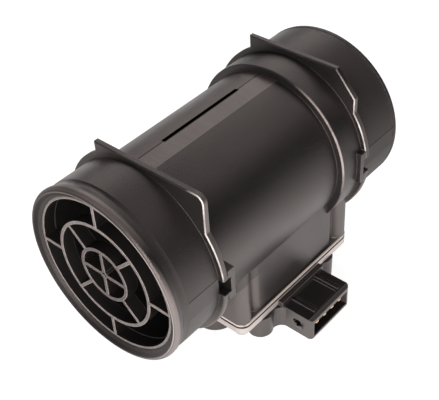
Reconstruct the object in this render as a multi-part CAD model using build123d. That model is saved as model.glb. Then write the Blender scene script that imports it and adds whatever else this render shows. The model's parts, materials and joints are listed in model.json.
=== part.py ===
from build123d import *
import os

# Mass airflow sensor: a moulded flow tube with an inlet grid, a sensor module plugged in from below,
# and a connector on the +X side.
# Frame: millimetres, Y along the flow, +Z up, origin on the tube axis in the plane of the inlet rim.

# ---- flow tube ------------------------------------------------------------------------------------
TUBE_LENGTH = 134.5            # inlet rim to outlet rim
SPIGOT_R = 36.1                # hose spigots, both ends; the tube's other radii follow from it
BODY_STEP = 2.7                # the middle of the tube is this much slimmer
TUBE_WALL = 2.2                # from the flow bore to the middle of the tube
GRID_STEP = 1.2                # step of the counterbores at both ends
RIM_T = 1.0                    # rim thickness where the funnel of each rim starts
RIM_FUNNEL = 1.8               # depth of that funnel
BEAD_RISE = 0.4                # crest of the hose bead at the inlet rim, above the spigot
BEAD_CREST_Y = 2.3
BEAD_FULLNESS = 0.72           # 0.5 is a flat slope from the rim to the crest, 1 a square edge
BEAD_HOLLOW_DROP = 0.3         # soft hollow behind the bead, below the spigot
BEAD_HOLLOW_Y = 5.8
BEAD_END_Y = 7.2               # where the hollow meets the spigot
LIP_LENGTH = 2.2               # rounded lip at the outlet rim
LIP_ROUND = 1.5
LIP_GROOVE_DEPTH = 0.15
LIP_GROOVE_W = 0.8
ROOT_SOFT = 0.5                # small slope between the outlet flange and its spigot
SIDE_FLAT_HALF_H = 4.1         # flats left by the mould slides on the flanks of the spigots
SIDE_FLAT_START = 3.5
COLLAR_RISE = 0.3              # raised collar ahead of the outlet flange
COLLAR_LENGTH = 12.4
EDGE_SOFT = 0.5                # small rounding on the collar's front edge

# ---- the two box flanges --------------------------------------------------------------------------
INLET_FLANGE_Y = 22.5          # front face of the inlet flange
OUTLET_FLANGE_Y = 108.5        # front face of the outlet flange
FLANGE_T = 2.5
FLANGE_RISE = 2.4              # ring of each flange, above the spigots
INLET_BAR_RISE = 1.6           # flat top edges, above the crown of the spigots
OUTLET_BAR_RISE = 2.8
BAR_LEFT = -19.6
BAR_RIGHT = 31.6
BAR_CORNER_R = 3.2
BAR_CHAMFER_X = 8.9            # cut corner of the outlet flange
BAR_CHAMFER_Z = 10.6
FLANGE_SOFT = 0.35             # small chamfer round the flange faces

# ---- side lugs with their windows -----------------------------------------------------------------
LUG_RECESS = 0.2               # the lugs stop this far inside the flange ring
LUG_T = 3.3                    # lug thickness behind its flange
LUG_HALF_H = 6.9
WINDOW_HALF_H = 3.5
WINDOW_DEPTH = 3.9             # through the flange and part of the lug
WINDOW_WALL = 0.3              # tube wall left proud of the body under a window

# ---- flat strip and slot on the crown -------------------------------------------------------------
STRIP_HALF_W = 4.1
STRIP_DROP = 0.25
SLOT_X = -4.5
SLOT_W = 1.3
SLOT_DEPTH = 0.8
SLOT_START = 41.5
SLOT_END = 82.3

# ---- pedestal under the tube ----------------------------------------------------------------------
BASE_HALF_W = 30.2             # base flange, the outline that the gasket and the plate share
BASE_START = 40.1
BASE_END = 111.3
BASE_CORNER_R = 4.2
BASE_DROP = 6.4                # underside of the base flange, below the spigots
BASE_FLANGE_T = 0.9
PEDESTAL_INSET = 1.4           # pedestal walls, in from the base flange
PEDESTAL_START_INSET = 8.5
PEDESTAL_END_INSET = 9.3
PEDESTAL_CORNER_R = 4.0
PEDESTAL_WALL = 2.4
WEB_INSET = 3.4                # narrower walls that run out to the corner columns
WEB_CORNER_R = 1.0
COLUMN_R = 4.05
COLUMN_INSET_X = 4.3           # column axes, in from the base flange
COLUMN_INSET_Y = 4.1
COLUMN_TOP_Z = -9.0            # buried inside the tube wall

# ---- sensor socket --------------------------------------------------------------------------------
SOCKET_BORE_R = 10.2
SOCKET_WALL = 2.3

# ---- threaded inserts and screws ------------------------------------------------------------------
INSERT_R = 2.3
INSERT_L = 6.0
THREAD_R = 1.5
THREAD_CLEAR = 0.05
THREAD_SKIN = 1.0              # plate left above a blind thread
SCREW_HOLE_CLEAR = 0.2
SCREW_HEAD_R = 2.75
SCREW_HEAD_H = 1.9
SCREW_DRIVE_AF = 2.5
SCREW_DRIVE_DEPTH = 1.1

# ---- gasket and base plate ------------------------------------------------------------------------
GASKET_T = 0.5
GASKET_INSET = 0.5
PLATE_T = 3.7
PLATE_SOFT = 0.4

# ---- inlet grid -----------------------------------------------------------------------------------
GRID_FACE_Y = 2.0
GRID_DEPTH = 5.2
GRID_FIT = 0.1                 # radial clearance in the counterbore
GRID_RIM_T = 0.95
GRID_RING_R = (10.8, 21.8)     # centre lines of the two inner rings
GRID_BAR_T = 1.25
GRID_HUB_R = 1.5
GRID_GATE_R = 0.9
GRID_GATE_H = 0.5

# ---- sensor carrier and measuring duct ------------------------------------------------------------
CARRIER_CLEAR = 0.2
CARRIER_PROUD = 0.6            # the carrier stands this far into the flow
CARRIER_FLANGE_R = 13.0
BLADE_L = 18.0
BLADE_W = 5.0
SEAL_SECTION_R = 0.8
SEAL_SIDES = 8                 # the seal's section is drawn with this many flats
SEAL_GROOVE_W = 2.2
SEAL_RISE = 4.5                # seal above the underside of the base flange
SEAL_CLEAR = 0.05
DUCT_R = 8.6
DUCT_WALL = 1.6
DUCT_EDGE_T = 0.5              # edge of the duct's flared mouth
DUCT_LENGTH = 34.0
DUCT_FOOT_H = 1.0              # foot that lifts the duct off the blade
DUCT_FOOT_L = 14.0
ELEMENT_W = 0.8
ELEMENT_L = 3.6
ELEMENT_DROP = 3.0             # tips of the film elements, below the duct's roof
ELEMENT_SLOT_CLEAR = 0.1
HEATER_DY = 3.4
THERMOMETER_DY = -3.4

# ---- electronics housing --------------------------------------------------------------------------
HOUSING_H = 10.3               # from the plate down to the underside
HOUSING_WALL = 2.0
NOSE_HALF_W = 15.8
NOSE_INSET = 0.5               # nose ends, in from the ends of the base flange
NOSE_CORNER_R = 9.0
WING_INSET = 0.3               # wings, in from the base flange
WING_HALF_L = 23.8
WING_CORNER_R = 1.0
LUG_BOSS_INSET = 4.1           # boss axes, in from the base flange
LUG_BOSS_DY = 20.4
LUG_BOSS_R = 5.3
LUG_BOSS_DRAFT = 0.2           # the bosses are this much fatter at the plate
COUNTERBORE_R = 3.1
COUNTERBORE_DEPTH = 2.6
SHELF_T = 1.2                  # shelves that the board hangs from
SHELF_W = 1.6
COVER_T = 1.6
COVER_SEAT = 1.0
COVER_FIT = 0.1
COVER_SEAL_T = 0.3

# ---- connector ------------------------------------------------------------------------------------
LEDGE_GAP = 0.1                # between the plate edge and the connector root
ROOT_REACH = 2.4               # connector root, out from the base flange
ROOT_RISE = 2.0                # top of the root above the shroud
ROOT_HALF_W = 13.6
SHROUD_LENGTH = 14.0
SHROUD_ROOF = 2.7
SHROUD_FLOOR = 1.0
SHROUD_HALF_W = 13.2
SHROUD_CORNER_R = 1.8
SHROUD_BROW_X = 1.5            # sloped brow over the mouth
SHROUD_BROW_Z = 0.9
SOCKET_HALF_W = 11.3
SOCKET_BACK_T = 1.8            # solid behind the socket's back
KEY_END = 2.4                  # key ribs and grooves stop this far behind the mouth
KEY_RIB_YS = (-8.4, 7.7)       # near face of each rib, from the module axis
KEY_RIB_W = 0.9
KEY_RIB_H = 0.5
KEY_GROOVE_W = 1.1
KEY_GROOVE_DEPTH = 1.2
PANEL_START = -5.1             # lower panel between the keys, from the module axis
PANEL_END = 6.5
PANEL_DROP = 0.3
LATCH_BACK = 7.3               # latch window, behind the mouth
LATCH_W = 4.4
LATCH_DROP = 4.6               # latch window, below the top of the shroud
LATCH_H = 2.6
CATCH_L = 2.9                  # wedge-shaped catch beside each window
CATCH_H = 3.0
CATCH_LAND = 1.0               # upright part of its face
CATCH_DROP = 5.1
CATCH_PROUD = 0.8
ROOT_WEB_REACH = 1.2           # webs that run from the bosses into the connector
ROOT_WEB_START = 3.0           # along the flow, from the boss axis
ROOT_WEB_BULGE = 0.66
PIN_PITCH = 5.08
PIN_COUNT = 4
PIN_W = 2.8
PIN_T = 0.8
PIN_DROP = 1.0                 # pins below the circuit board
PIN_RECESS = 1.0               # pin tips behind the mouth
PIN_HEADROOM = 2.4             # from the pins to the socket's roof
PIN_FOOT_INSET = 2.3           # upturned tails, in from the edge of the board
PIN_TIP_SLOPE = 0.72
PIN_TAIL_W = 1.0
PIN_HOLE_R = 0.8
PIN_TAIL_UP = 0.8

# ---- circuit board and parts ----------------------------------------------------------------------
BOARD_T = 1.6
BOARD_OVERHANG = 4.0           # the board is this much wider than the nose
BOARD_CORNER_R = 1.0
BOARD_CLEAR = 0.5
BOARD_DROP = 1.9               # board below the plate
CHIP_SIZE = (9.0, 9.0, 1.4)
CHIP_AT = (-8.0, 6.0)
TRANSISTOR_SIZE = (6.6, 6.0, 2.2)
TRANSISTOR_AT = (-9.0, -12.0)
CAPACITOR_SIZE = (1.6, 2.6, 1.2)
CAPACITOR_PITCH = 3.4
CAPACITOR_COUNT = 4
CAPACITOR_AT = (6.0, -14.0)

# ---- values that follow from the sizes above ------------------------------------------------------
CUT = 1.0                      # cuts and blends run this far past the faces they meet
BODY_R = SPIGOT_R - BODY_STEP
FLOW_BORE_R = BODY_R - TUBE_WALL
INLET_BORE_R = FLOW_BORE_R + GRID_STEP
RIM_MOUTH_R = SPIGOT_R - RIM_T
BEAD_R = SPIGOT_R + BEAD_RISE
BEAD_HOLLOW_R = SPIGOT_R - BEAD_HOLLOW_DROP
COLLAR_R = SPIGOT_R + COLLAR_RISE
FLANGE_RING_R = SPIGOT_R + FLANGE_RISE
INLET_BAR_TOP = SPIGOT_R + INLET_BAR_RISE
OUTLET_BAR_TOP = SPIGOT_R + OUTLET_BAR_RISE
LUG_REACH = FLANGE_RING_R - LUG_RECESS
INLET_BACK_Y = INLET_FLANGE_Y + FLANGE_T
COLLAR_Y = OUTLET_FLANGE_Y - COLLAR_LENGTH
OUTLET_BACK_Y = OUTLET_FLANGE_Y + FLANGE_T
GRID_SEAT_Y = GRID_FACE_Y + GRID_DEPTH
OUTLET_SEAT_Y = TUBE_LENGTH - GRID_SEAT_Y
MODULE_Y = (BASE_START + BASE_END) / 2
PEDESTAL_HALF_W = BASE_HALF_W - PEDESTAL_INSET
PEDESTAL_START = BASE_START + PEDESTAL_START_INSET
PEDESTAL_END = BASE_END - PEDESTAL_END_INSET
WEB_HALF_W = BASE_HALF_W - WEB_INSET
COLUMN_X = BASE_HALF_W - COLUMN_INSET_X
COLUMN_YS = (BASE_START + COLUMN_INSET_Y, BASE_END - COLUMN_INSET_Y)
COLUMN_POINTS = [(sx * COLUMN_X, y) for sx in (-1, 1) for y in COLUMN_YS]
BASE_FACE_Z = -SPIGOT_R - BASE_DROP
BASE_TOP_Z = BASE_FACE_Z + BASE_FLANGE_T
PLATE_TOP_Z = BASE_FACE_Z - GASKET_T
PLATE_BOTTOM_Z = PLATE_TOP_Z - PLATE_T
HOUSING_BOTTOM_Z = PLATE_BOTTOM_Z - HOUSING_H
CARRIER_R = SOCKET_BORE_R - CARRIER_CLEAR
CARRIER_TOP_Z = -FLOW_BORE_R + CARRIER_PROUD
SEAL_Z = BASE_FACE_Z + SEAL_RISE
DUCT_BORE_R = DUCT_R - DUCT_WALL
DUCT_MOUTH_R = DUCT_R - DUCT_EDGE_T
BLADE_TOP_Z = -DUCT_R - DUCT_FOOT_H
ELEMENT_TOP_Z = DUCT_BORE_R - ELEMENT_DROP
WING_HALF_W = BASE_HALF_W - WING_INSET
WING_START = MODULE_Y - WING_HALF_L
WING_END = MODULE_Y + WING_HALF_L
LUG_BOSS_X = BASE_HALF_W - LUG_BOSS_INSET
BOSS_POINTS = [(sx * LUG_BOSS_X, MODULE_Y + sy * LUG_BOSS_DY) for sx in (-1, 1) for sy in (-1, 1)]
BOARD_HALF_W = NOSE_HALF_W + BOARD_OVERHANG
BOARD_TOP_Z = PLATE_BOTTOM_Z - BOARD_DROP
BOARD_BOTTOM_Z = BOARD_TOP_Z - BOARD_T
PIN_Z = BOARD_BOTTOM_Z - PIN_DROP
PIN_YS = [MODULE_Y + (i - (PIN_COUNT - 1) / 2) * PIN_PITCH for i in range(PIN_COUNT)]
PIN_FOOT_X = BOARD_HALF_W - PIN_FOOT_INSET
ROOT_IN_X = BASE_HALF_W + LEDGE_GAP
ROOT_OUT_X = BASE_HALF_W + ROOT_REACH
ROOT_WEB_X = ROOT_OUT_X + ROOT_WEB_REACH
SHROUD_MOUTH_X = ROOT_OUT_X + SHROUD_LENGTH
SOCKET_BACK_X = ROOT_OUT_X + SOCKET_BACK_T
SOCKET_TOP_Z = PIN_Z + PIN_HEADROOM
SOCKET_FLOOR_Z = HOUSING_BOTTOM_Z + SHROUD_FLOOR
SHROUD_TOP_Z = SOCKET_TOP_Z + SHROUD_ROOF
ROOT_TOP_Z = SHROUD_TOP_Z + ROOT_RISE
KEY_END_X = SHROUD_MOUTH_X - KEY_END
LATCH_X = SHROUD_MOUTH_X - LATCH_BACK
LATCH_Z = SHROUD_TOP_Z - LATCH_DROP
CATCH_TOP_Z = SHROUD_TOP_Z - CATCH_DROP
CATCH_BOTTOM_Z = CATCH_TOP_Z - CATCH_H
PIN_TIP_X = SHROUD_MOUTH_X - PIN_RECESS


# ---- small helpers --------------------------------------------------------------------------------
def block(x0, x1, y0, y1, z0, z1):
    """Box from its lowest to its highest corner."""
    return Pos((x0 + x1) / 2, (y0 + y1) / 2, (z0 + z1) / 2) * Box(x1 - x0, y1 - y0, z1 - z0)


def post(x, y, z0, z1, radius):
    """Upright cylinder between two heights."""
    return Pos(x, y, (z0 + z1) / 2) * Cylinder(radius, z1 - z0)


def rod(y0, y1, radius, x=0, z=0):
    """Cylinder along the flow."""
    return Pos(x, (y0 + y1) / 2, z) * Rot(90, 0, 0) * Cylinder(radius, y1 - y0)


def slab(outline, z0, z1):
    """Plan outline, drawn in XY, pulled up from one height to another."""
    return Pos(0, 0, z0) * extrude(outline, z1 - z0)


def rounded_plan(half_w, y0, y1, radius):
    """Rounded rectangle in plan, centred on the tube axis."""
    return Pos(0, (y0 + y1) / 2) * RectangleRounded(2 * half_w, y1 - y0, radius)


def turned(points):
    """Solid of revolution about the tube axis from (radius, y) points."""
    outline = make_face(Polyline([(r, y, 0) for r, y in points], close=True))
    return revolve(outline, Axis.Y)


# ---- flow tube ------------------------------------------------------------------------------------
def inlet_bead():
    """Rounded hose bead that runs through a soft hollow into the spigot."""
    rim = (RIM_MOUTH_R, 0, 0)
    shoulder = (RIM_MOUTH_R + BEAD_FULLNESS * (BEAD_R - RIM_MOUTH_R), (1 - BEAD_FULLNESS) * BEAD_CREST_Y, 0)
    crest = (BEAD_R, BEAD_CREST_Y, 0)
    turn = ((BEAD_R + BEAD_HOLLOW_R) / 2, (BEAD_CREST_Y + BEAD_HOLLOW_Y) / 2, 0)
    hollow = (BEAD_HOLLOW_R, BEAD_HOLLOW_Y, 0)
    end = (SPIGOT_R, BEAD_END_Y, 0)
    curves = [
        ThreePointArc(rim, shoulder, crest),
        TangentArc(crest, turn, tangent=(0, 1, 0)),
        TangentArc(hollow, turn, tangent=(0, -1, 0)),
        TangentArc(hollow, end, tangent=(0, 1, 0)),
    ]
    sides = Polyline(end, (FLOW_BORE_R, BEAD_END_Y, 0), (FLOW_BORE_R, 0, 0), rim)
    return revolve(make_face(curves + [sides]), Axis.Y)


def outlet_lip():
    """Lip at the outlet rim, with a rounded front edge and flush with the spigot."""
    rim = (RIM_MOUTH_R, TUBE_LENGTH, 0)
    shoulder = (SPIGOT_R - LIP_GROOVE_DEPTH, TUBE_LENGTH - LIP_ROUND / 3, 0)
    crest = (SPIGOT_R, TUBE_LENGTH - LIP_ROUND, 0)
    back_y = TUBE_LENGTH - LIP_LENGTH
    sides = Polyline(crest, (SPIGOT_R, back_y, 0), (FLOW_BORE_R, back_y, 0), (FLOW_BORE_R, TUBE_LENGTH, 0), rim)
    return revolve(make_face([ThreePointArc(rim, shoulder, crest), sides]), Axis.Y)


def tube_outside():
    lip_start = TUBE_LENGTH - LIP_LENGTH
    groove_start = lip_start - LIP_GROOVE_W
    shell = inlet_bead()
    shell += rod(BEAD_CREST_Y, TUBE_LENGTH - LIP_ROUND, BODY_R)
    shell += rod(BEAD_END_Y, INLET_BACK_Y, SPIGOT_R)
    collar = rod(COLLAR_Y, OUTLET_FLANGE_Y, COLLAR_R)
    shell += fillet(collar.edges().group_by(Axis.Y)[0], EDGE_SOFT)
    shell += rod(OUTLET_FLANGE_Y, groove_start, SPIGOT_R)
    shell += turned([
        (BODY_R, OUTLET_BACK_Y),
        (SPIGOT_R + ROOT_SOFT, OUTLET_BACK_Y),
        (SPIGOT_R, OUTLET_BACK_Y + ROOT_SOFT),
        (BODY_R, OUTLET_BACK_Y + ROOT_SOFT),
    ])
    shell += rod(groove_start, lip_start, SPIGOT_R - LIP_GROOVE_DEPTH)
    shell += outlet_lip()
    return shell


def side_flats():
    """Thin caps that are planed off both spigots, on the flank of the connector and the one opposite."""
    flat_x = (SPIGOT_R**2 - SIDE_FLAT_HALF_H**2) ** 0.5
    caps = []
    for y0, y1 in ((SIDE_FLAT_START, INLET_FLANGE_Y), (OUTLET_BACK_Y, TUBE_LENGTH - LIP_LENGTH)):
        for side in (-1, 1):
            x0, x1 = sorted((side * flat_x, side * FLANGE_RING_R))
            caps.append(block(x0, x1, y0, y1, -SIDE_FLAT_HALF_H, SIDE_FLAT_HALF_H))
    return caps


def tube_bore():
    """Funnel, grid counterbore, flow bore, outlet counterbore and outlet funnel."""
    return turned([
        (0, -CUT),
        (RIM_MOUTH_R, -CUT),
        (RIM_MOUTH_R, 0),
        (INLET_BORE_R, RIM_FUNNEL),
        (INLET_BORE_R, GRID_SEAT_Y),
        (FLOW_BORE_R, GRID_SEAT_Y),
        (FLOW_BORE_R, OUTLET_SEAT_Y),
        (INLET_BORE_R, OUTLET_SEAT_Y),
        (INLET_BORE_R, TUBE_LENGTH - RIM_FUNNEL),
        (RIM_MOUTH_R, TUBE_LENGTH),
        (RIM_MOUTH_R, TUBE_LENGTH + CUT),
        (0, TUBE_LENGTH + CUT),
    ])


def flange(front_y, top_z, chamfered):
    """Ring flange with a flat bar across its crown; the bar's right corner is rounded or cut off."""
    ring = rod(front_y, front_y + FLANGE_T, FLANGE_RING_R)
    bar = block(BAR_LEFT, BAR_RIGHT, front_y, front_y + FLANGE_T, 0, top_z)
    corner = bar.edges().filter_by(Axis.Y).sort_by(Axis.Z)[-2:].sort_by(Axis.X)[-1]
    if chamfered:
        face = bar.faces().sort_by(Axis.Z)[-1]
        bar = chamfer(corner, BAR_CHAMFER_X, BAR_CHAMFER_Z, reference=face)
    else:
        bar = fillet(corner, BAR_CORNER_R)
    reach = max(FLANGE_RING_R, BAR_RIGHT, -BAR_LEFT)
    crown = block(-reach, reach, front_y, front_y + FLANGE_T, top_z, top_z + FLANGE_RING_R)
    whole = ring + bar - crown
    rims = whole.edges().group_by(Axis.Y)
    return chamfer(rims[0] + rims[-1], FLANGE_SOFT)


def side_lug(side, y0, y1):
    """Block on one flank that backs a flange between two Y values."""
    x0, x1 = sorted((side * (BODY_R - TUBE_WALL), side * LUG_REACH))
    return block(x0, x1, y0, y1, -LUG_HALF_H, LUG_HALF_H)


def lug_window(side, y0, y1):
    """Rectangular notch through a flange and part of its lug, open to the outside."""
    x0, x1 = sorted((side * (BODY_R + WINDOW_WALL), side * (FLANGE_RING_R + CUT)))
    return block(x0, x1, y0, y1, -WINDOW_HALF_H, WINDOW_HALF_H)


def pedestal():
    plan = rounded_plan(PEDESTAL_HALF_W, PEDESTAL_START, PEDESTAL_END, PEDESTAL_CORNER_R)
    web = rounded_plan(WEB_HALF_W, BASE_START, BASE_END, WEB_CORNER_R)
    columns = [Pos(x, y) * Circle(COLUMN_R) for x, y in COLUMN_POINTS]
    walls = slab(plan + web + columns, BASE_TOP_Z, COLUMN_TOP_Z)
    foot = slab(rounded_plan(BASE_HALF_W, BASE_START, BASE_END, BASE_CORNER_R), BASE_FACE_Z, BASE_TOP_Z)
    return walls + foot


def pedestal_hollow():
    """Space inside the pedestal, around the socket and outside the tube wall."""
    half_w = PEDESTAL_HALF_W - PEDESTAL_WALL
    y0, y1 = PEDESTAL_START + PEDESTAL_WALL, PEDESTAL_END - PEDESTAL_WALL
    top_z = -(BODY_R**2 - half_w**2) ** 0.5
    space = slab(rounded_plan(half_w, y0, y1, PEDESTAL_CORNER_R / 2), BASE_FACE_Z, top_z)
    space -= rod(0, TUBE_LENGTH, BODY_R)
    space -= post(0, MODULE_Y, BASE_FACE_Z, top_z, SOCKET_BORE_R + SOCKET_WALL)
    return space


def crown_strip():
    """Thin cap that is planed off the body to leave the flat strip."""
    flat_z = BODY_R - STRIP_DROP
    return block(-STRIP_HALF_W, STRIP_HALF_W, INLET_BACK_Y, COLLAR_Y, flat_z, BODY_R + CUT)


def crown_slot():
    flat_z = BODY_R - STRIP_DROP
    x0, x1 = SLOT_X - SLOT_W / 2, SLOT_X + SLOT_W / 2
    return block(x0, x1, SLOT_START, SLOT_END, flat_z - SLOT_DEPTH, BODY_R + CUT)


def tube_housing():
    body = tube_outside()
    for cap in side_flats():
        body -= cap
    body += flange(INLET_FLANGE_Y, INLET_BAR_TOP, False)
    body += flange(OUTLET_FLANGE_Y, OUTLET_BAR_TOP, True)
    for side in (-1, 1):
        body += side_lug(side, INLET_BACK_Y, INLET_BACK_Y + LUG_T)
        body += side_lug(side, OUTLET_FLANGE_Y - LUG_T, OUTLET_FLANGE_Y)
    body += pedestal()
    body -= pedestal_hollow()
    body -= tube_bore()
    for side in (-1, 1):
        body -= lug_window(side, INLET_FLANGE_Y, INLET_FLANGE_Y + WINDOW_DEPTH)
        body -= lug_window(side, OUTLET_BACK_Y - WINDOW_DEPTH, OUTLET_BACK_Y)
    body -= crown_strip()
    body -= crown_slot()
    body -= post(0, MODULE_Y, BASE_FACE_Z, 0, SOCKET_BORE_R)
    for x, y in COLUMN_POINTS:
        body -= post(x, y, BASE_FACE_Z, BASE_FACE_Z + INSERT_L + 2, INSERT_R)
    return body


# ---- inlet grid -----------------------------------------------------------------------------------
def hoop(radius, thickness):
    """Ring of the grid about its centre line."""
    y1 = GRID_FACE_Y + GRID_DEPTH
    return rod(GRID_FACE_Y, y1, radius + thickness / 2) - rod(GRID_FACE_Y, y1, radius - thickness / 2)


def spoke(angle, r0, r1):
    """Radial bar of the grid between two radii."""
    bar = block(r0, r1, GRID_FACE_Y, GRID_SEAT_Y, -GRID_BAR_T / 2, GRID_BAR_T / 2)
    return Rot(0, angle, 0) * bar


def inlet_grid():
    rim_r = INLET_BORE_R - GRID_FIT
    inner, outer = GRID_RING_R
    grid = hoop(rim_r - GRID_RIM_T / 2, GRID_RIM_T)
    grid += hoop(inner, GRID_BAR_T)
    grid += hoop(outer, GRID_BAR_T)
    grid += rod(GRID_FACE_Y, GRID_SEAT_Y, GRID_HUB_R)
    grid += rod(GRID_FACE_Y - GRID_GATE_H, GRID_FACE_Y, GRID_GATE_R)
    for quarter in range(4):
        grid += spoke(90 * quarter, 0, inner)
        grid += spoke(90 * quarter + 45, inner, outer)
        grid += spoke(90 * quarter, outer, rim_r - GRID_RIM_T / 2)
    return grid


# ---- sensor in the flow ---------------------------------------------------------------------------
def sensor_carrier():
    """Round plug that seals in the socket, with a flange under the plate and a blade into the flow."""
    plug = post(0, MODULE_Y, PLATE_BOTTOM_Z, CARRIER_TOP_Z, CARRIER_R)
    plug += post(0, MODULE_Y, BOARD_TOP_Z, PLATE_BOTTOM_Z, CARRIER_FLANGE_R)
    groove = post(0, MODULE_Y, SEAL_Z - SEAL_GROOVE_W / 2, SEAL_Z + SEAL_GROOVE_W / 2, CARRIER_R + CUT)
    groove -= post(0, MODULE_Y, SEAL_Z - SEAL_GROOVE_W, SEAL_Z + SEAL_GROOVE_W, seal_groove_r())
    blade = slab(Pos(0, MODULE_Y) * Rot(0, 0, 90) * SlotOverall(BLADE_L, BLADE_W), CARRIER_TOP_Z, BLADE_TOP_Z)
    return plug - groove + blade


def seal_groove_r():
    return SOCKET_BORE_R - 2 * SEAL_SECTION_R - 2 * SEAL_CLEAR


def carrier_seal():
    section = RegularPolygon(SEAL_SECTION_R, SEAL_SIDES, major_radius=False, rotation=180 / SEAL_SIDES)
    section = Pos(SOCKET_BORE_R - SEAL_CLEAR - SEAL_SECTION_R, 0, 0) * Rot(90, 0, 0) * section
    return Pos(0, MODULE_Y, SEAL_Z) * revolve(section, Axis.Z)


def element(dy):
    """Film element that stands on the blade and reaches into the measuring duct."""
    y = MODULE_Y + dy
    half_w, half_l = ELEMENT_W / 2, ELEMENT_L / 2
    return block(-half_w, half_w, y - half_l, y + half_l, BLADE_TOP_Z, ELEMENT_TOP_Z)


def measuring_duct():
    """Short venturi tube on the axis, with a foot that stands on the blade."""
    y0 = MODULE_Y - DUCT_LENGTH / 2
    y1 = MODULE_Y + DUCT_LENGTH / 2
    duct = rod(y0, y1, DUCT_R)
    half_foot = DUCT_FOOT_L / 2
    duct += block(-BLADE_W / 2, BLADE_W / 2, MODULE_Y - half_foot, MODULE_Y + half_foot, BLADE_TOP_Z, 0)
    flare = 2 * DUCT_WALL
    duct -= turned([
        (0, y0 - CUT),
        (DUCT_MOUTH_R, y0 - CUT),
        (DUCT_MOUTH_R, y0),
        (DUCT_BORE_R, y0 + flare),
        (DUCT_BORE_R, y1 + CUT),
        (0, y1 + CUT),
    ])
    for dy in (HEATER_DY, THERMOMETER_DY):
        half_w = ELEMENT_W / 2 + ELEMENT_SLOT_CLEAR
        half_l = ELEMENT_L / 2 + ELEMENT_SLOT_CLEAR
        y = MODULE_Y + dy
        duct -= block(-half_w, half_w, y - half_l, y + half_l, BLADE_TOP_Z, 0)
    return duct


# ---- fastening ------------------------------------------------------------------------------------
def thread_inserts():
    insert = Cylinder(INSERT_R, INSERT_L) - Cylinder(THREAD_R + THREAD_CLEAR, INSERT_L)
    return [Pos(x, y, BASE_FACE_Z + INSERT_L / 2) * insert for x, y in COLUMN_POINTS]


def screw(x, y, seat_z, top_z):
    """Screw driven upwards: head under seat_z, shank up to top_z, hexagon recess in the head."""
    body = post(x, y, seat_z, top_z, THREAD_R)
    body += post(x, y, seat_z - SCREW_HEAD_H, seat_z, SCREW_HEAD_R)
    recess = RegularPolygon(SCREW_DRIVE_AF / 2, 6, major_radius=False)
    bottom = seat_z - SCREW_HEAD_H
    return body - slab(Pos(x, y) * recess, bottom, bottom + SCREW_DRIVE_DEPTH)


def plate_screws():
    return [screw(x, y, PLATE_BOTTOM_Z, BASE_FACE_Z + INSERT_L) for x, y in COLUMN_POINTS]


def housing_screws():
    seat_z = HOUSING_BOTTOM_Z + COUNTERBORE_DEPTH
    return [screw(x, y, seat_z, PLATE_TOP_Z - THREAD_SKIN) for x, y in BOSS_POINTS]


# ---- gasket and base plate ------------------------------------------------------------------------
def plate_gasket():
    plan = rounded_plan(BASE_HALF_W - GASKET_INSET, BASE_START + GASKET_INSET, BASE_END - GASKET_INSET,
                        BASE_CORNER_R - GASKET_INSET)
    sheet = slab(plan, PLATE_TOP_Z, BASE_FACE_Z)
    sheet -= post(0, MODULE_Y, PLATE_TOP_Z, BASE_FACE_Z, SOCKET_BORE_R)
    for x, y in COLUMN_POINTS:
        sheet -= post(x, y, PLATE_TOP_Z, BASE_FACE_Z, THREAD_R + SCREW_HOLE_CLEAR)
    return sheet


def base_plate():
    plan = rounded_plan(BASE_HALF_W, BASE_START, BASE_END, BASE_CORNER_R)
    plate = slab(plan, PLATE_BOTTOM_Z, PLATE_TOP_Z)
    rims = plate.edges().group_by(Axis.Z)
    plate = chamfer(rims[0] + rims[-1], PLATE_SOFT)
    plate -= post(0, MODULE_Y, PLATE_BOTTOM_Z, PLATE_TOP_Z, SOCKET_BORE_R)
    for x, y in COLUMN_POINTS:
        plate -= post(x, y, PLATE_BOTTOM_Z, PLATE_TOP_Z, THREAD_R + SCREW_HOLE_CLEAR)
    for x, y in BOSS_POINTS:
        plate -= post(x, y, PLATE_BOTTOM_Z, PLATE_TOP_Z - THREAD_SKIN, THREAD_R + THREAD_CLEAR)
    return plate


# ---- electronics housing --------------------------------------------------------------------------
def housing_plan(inset):
    """Nose front and back, wings at the sides."""
    ends = inset + NOSE_INSET
    nose = rounded_plan(NOSE_HALF_W - inset, BASE_START + ends, BASE_END - ends, NOSE_CORNER_R - inset)
    wings = rounded_plan(WING_HALF_W - inset, WING_START + inset, WING_END - inset, WING_CORNER_R)
    return nose + wings


def boss_circles(radius):
    return [Pos(x, y) * Circle(radius) for x, y in BOSS_POINTS]


def boss_posts():
    bottom = Pos(0, 0, HOUSING_BOTTOM_Z) * Circle(LUG_BOSS_R)
    top = Pos(0, 0, PLATE_BOTTOM_Z) * Circle(LUG_BOSS_R + LUG_BOSS_DRAFT)
    cone = loft([bottom, top])
    return [Pos(x, y) * cone for x, y in BOSS_POINTS]


def root_web(side):
    """Web with a hollow outline between a boss and the near or far face of the connector."""
    face_y = MODULE_Y + side * SHROUD_HALF_W
    start_y = MODULE_Y + side * (LUG_BOSS_DY - ROOT_WEB_START)
    start_x = LUG_BOSS_X + (LUG_BOSS_R**2 - ROOT_WEB_START**2) ** 0.5
    middle_x = (start_x + ROOT_WEB_X) / 2 - ROOT_WEB_BULGE
    middle_y = (start_y + face_y) / 2 - side * ROOT_WEB_BULGE
    curve = ThreePointArc((start_x, start_y), (middle_x, middle_y), (ROOT_WEB_X, face_y))
    sides = Polyline((ROOT_WEB_X, face_y), (LUG_BOSS_X, face_y), (LUG_BOSS_X, start_y), (start_x, start_y))
    return slab(make_face([curve, sides]), HOUSING_BOTTOM_Z, PLATE_BOTTOM_Z)


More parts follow.
